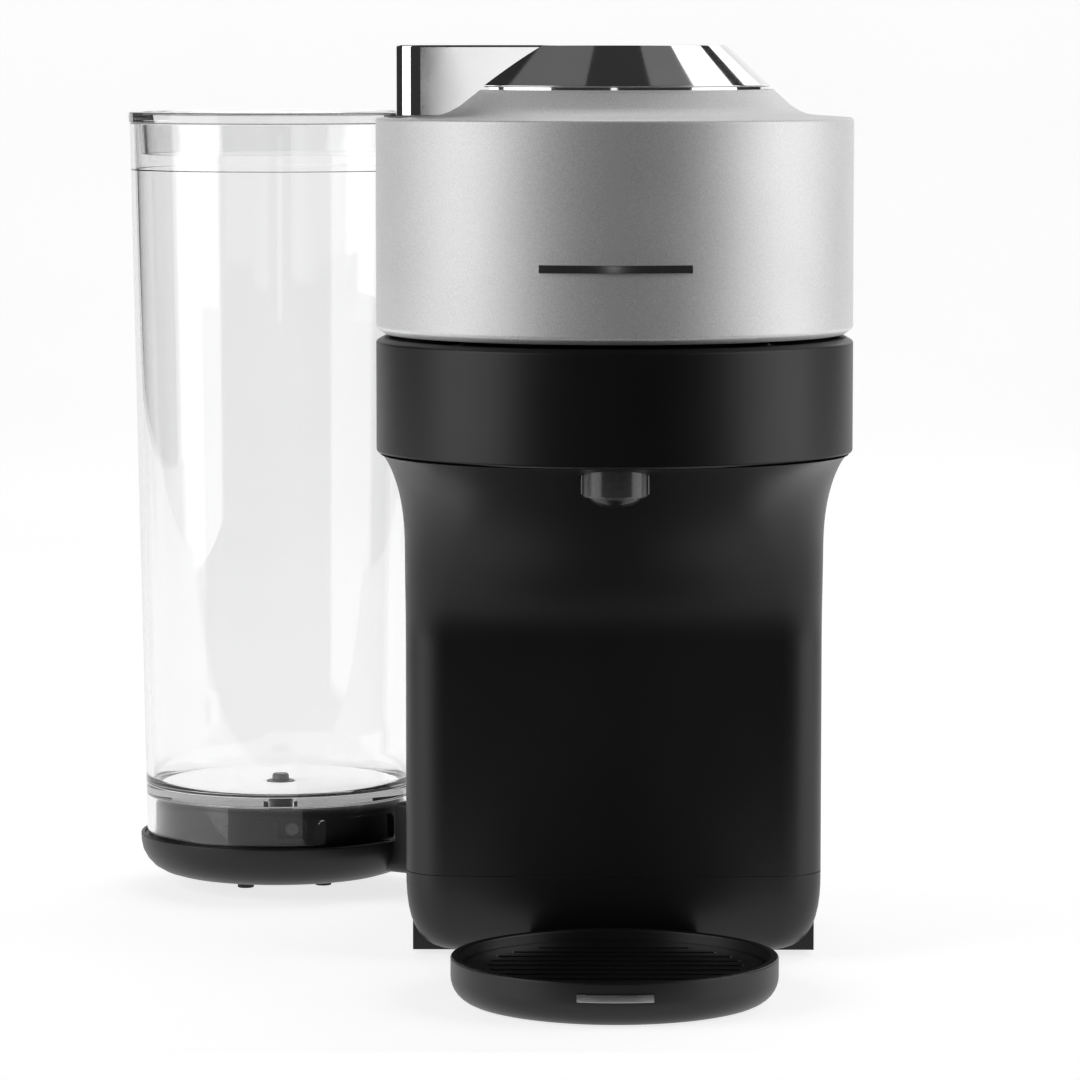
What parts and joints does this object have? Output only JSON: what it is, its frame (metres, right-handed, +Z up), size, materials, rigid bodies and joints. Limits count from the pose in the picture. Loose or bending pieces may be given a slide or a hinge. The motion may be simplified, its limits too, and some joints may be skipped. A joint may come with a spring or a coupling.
{
  "type": "pod coffee machine",
  "caption": "Round-headed pod coffee machine with a tilting brew head, chrome lever, side water tank on a swivel arm, drip tray and rear bin.",
  "frame": {"origin": "on the table, under the vertical axis of the brew head", "axes": "+Z up, front (drip tray) towards -Y, water tank at -X"},
  "size_m": [0.23, 0.3165, 0.2781],
  "materials": {
    "black_body": "fine-grained matte",
    "black_gloss": "gloss",
    "rubber": "matte",
    "steel": "bright",
    "inner_plastic": "moulded satin",
    "spout_gloss": "gloss",
    "spout_dark": "satin",
    "motor_steel": "zinc-plated",
    "aluminium": "as cast",
    "circuit_board": "solder mask",
    "hose": "translucent silicone",
    "silver_shell": "satin silver, fine metallic grain",
    "chrome": "polished chrome plating",
    "button_chrome": "satin chrome",
    "light_ring": "translucent white",
    "trim_steel": "satin",
    "clamp_plastic": "satin",
    "clear_tank": "clear moulded",
    "clear_lid": "clear moulded",
    "grid_gloss": "polished dark steel"
  },
  "bodies": {
    "body": {"base_pan": "black_body", "rubber_feet": "rubber", "base_screws": "steel", "lower_shell": "black_body", "swivel_cap": "black_body", "column_shell": "black_body", "cord_gland": "black_gloss", "brew_band": "black_body", "pod_chute": "inner_plastic", "coffee_collector": "inner_plastic", "coffee_spout": "spout_gloss", "spout_nozzle": "spout_dark", "rotor_bearing": "steel", "drive_motor": "motor_steel", "drive_belt": "rubber", "water_heater": "aluminium", "water_pump": "motor_steel", "pump_mounts": "rubber", "chassis": "inner_plastic", "control_board": "circuit_board", "flow_meter": "inner_plastic", "inlet_hose": "hose", "brew_hose": "hose", "code_reader": "inner_plastic", "hinge_knuckles": "black_body", "hinge_pin": "steel", "opening_gearmotor": "motor_steel"},
    "head": {"head_shell": "silver_shell", "head_liner": "inner_plastic", "brew_seal": "rubber", "hinge_bracket": "black_body", "head_frame": "inner_plastic", "clamp_bearing": "steel", "lever_pins": "steel", "crown": "chrome", "button_switch": "inner_plastic", "light_ring": "light_ring", "head_trim": "trim_steel"},
    "lever": {"lever": "chrome"},
    "button": {"brew_button": "button_chrome"},
    "clamp": {"pod_clamp": "clamp_plastic", "injection_needle": "steel"},
    "rotor": {"pod_holder": "steel", "rotor_pulley": "aluminium"},
    "motor": {"motor_pulley": "aluminium"},
    "arm": {"tank_arm": "black_body", "arm_glides": "rubber", "inlet_seal": "rubber", "tank_detent": "clamp_plastic"},
    "tank": {"water_tank": "clear_tank", "valve_seat": "clear_tank"},
    "valve": {"valve_plunger": "clamp_plastic"},
    "lid": {"tank_lid": "clear_lid"},
    "bin": {"pod_bin": "black_body"},
    "tray": {"drip_tray": "black_body", "tray_trim": "trim_steel"},
    "grid": {"drip_grid": "grid_gloss"}
  },
  "joints": [
    {"name": "head_tilt", "type": "hinge", "parent": "body", "child": "head", "pos_m": [0, 0.079, 0.196], "axis": [-1, 0, 0], "range_deg": [0, 60]},
    {"name": "lever_rock", "type": "hinge", "parent": "head", "child": "lever", "pos_m": [0.017, 0, 0.274], "axis": [0, 1, 0], "range_deg": [-0.5, 4.2], "stiffness_Nm_per_rad": 0.4},
    {"name": "button_press", "type": "slide", "parent": "head", "child": "button", "axis": [0, 0, -1], "range_m": [0, 0.0016], "stiffness_N_per_m": 300, "springref_m": -0.001},
    {"name": "rotor_spin", "type": "hinge", "parent": "body", "child": "rotor", "pos_m": [0, 0, 0.16], "axis": [0, 0, 1], "continuous": true},
    {"name": "clamp_spin", "type": "hinge", "parent": "head", "child": "clamp", "pos_m": [0, 0, 0.2], "axis": [0, 0, 1], "continuous": true},
    {"name": "motor_spin", "type": "hinge", "parent": "body", "child": "motor", "pos_m": [0, 0.052, 0.15], "axis": [0, 0, 1], "continuous": true},
    {"name": "tank_swing", "type": "hinge", "parent": "body", "child": "arm", "pos_m": [0, 0.1, 0.0175], "axis": [0, 0, 1], "range_deg": [-113.6, 0]},
    {"name": "tank_lift", "type": "slide", "parent": "arm", "child": "tank", "axis": [0, 0, 1], "range_m": [0, 0.06]},
    {"name": "lid_lift", "type": "slide", "parent": "tank", "child": "lid", "axis": [0, 0, 1], "range_m": [0, 0.05]},
    {"name": "valve_press", "type": "slide", "parent": "tank", "child": "valve", "axis": [0, 0, 1], "range_m": [-0.002, 0], "stiffness_N_per_m": 60, "springref_m": 0.001},
    {"name": "bin_lift", "type": "slide", "parent": "body", "child": "bin", "axis": [0, 0, -1], "range_m": [-0.14, 0]},
    {"name": "tray_slide", "type": "slide", "parent": "body", "child": "tray", "axis": [0, -1, 0], "range_m": [0, 0.08]},
    {"name": "grid_lift", "type": "slide", "parent": "tray", "child": "grid", "axis": [0, 0, 1], "range_m": [0, 0.03]}
  ],
  "couplings": [
    {"joint": "clamp_spin", "follows": "rotor_spin", "ratio": 1},
    {"joint": "motor_spin", "follows": "rotor_spin", "ratio": 2}
  ]
}
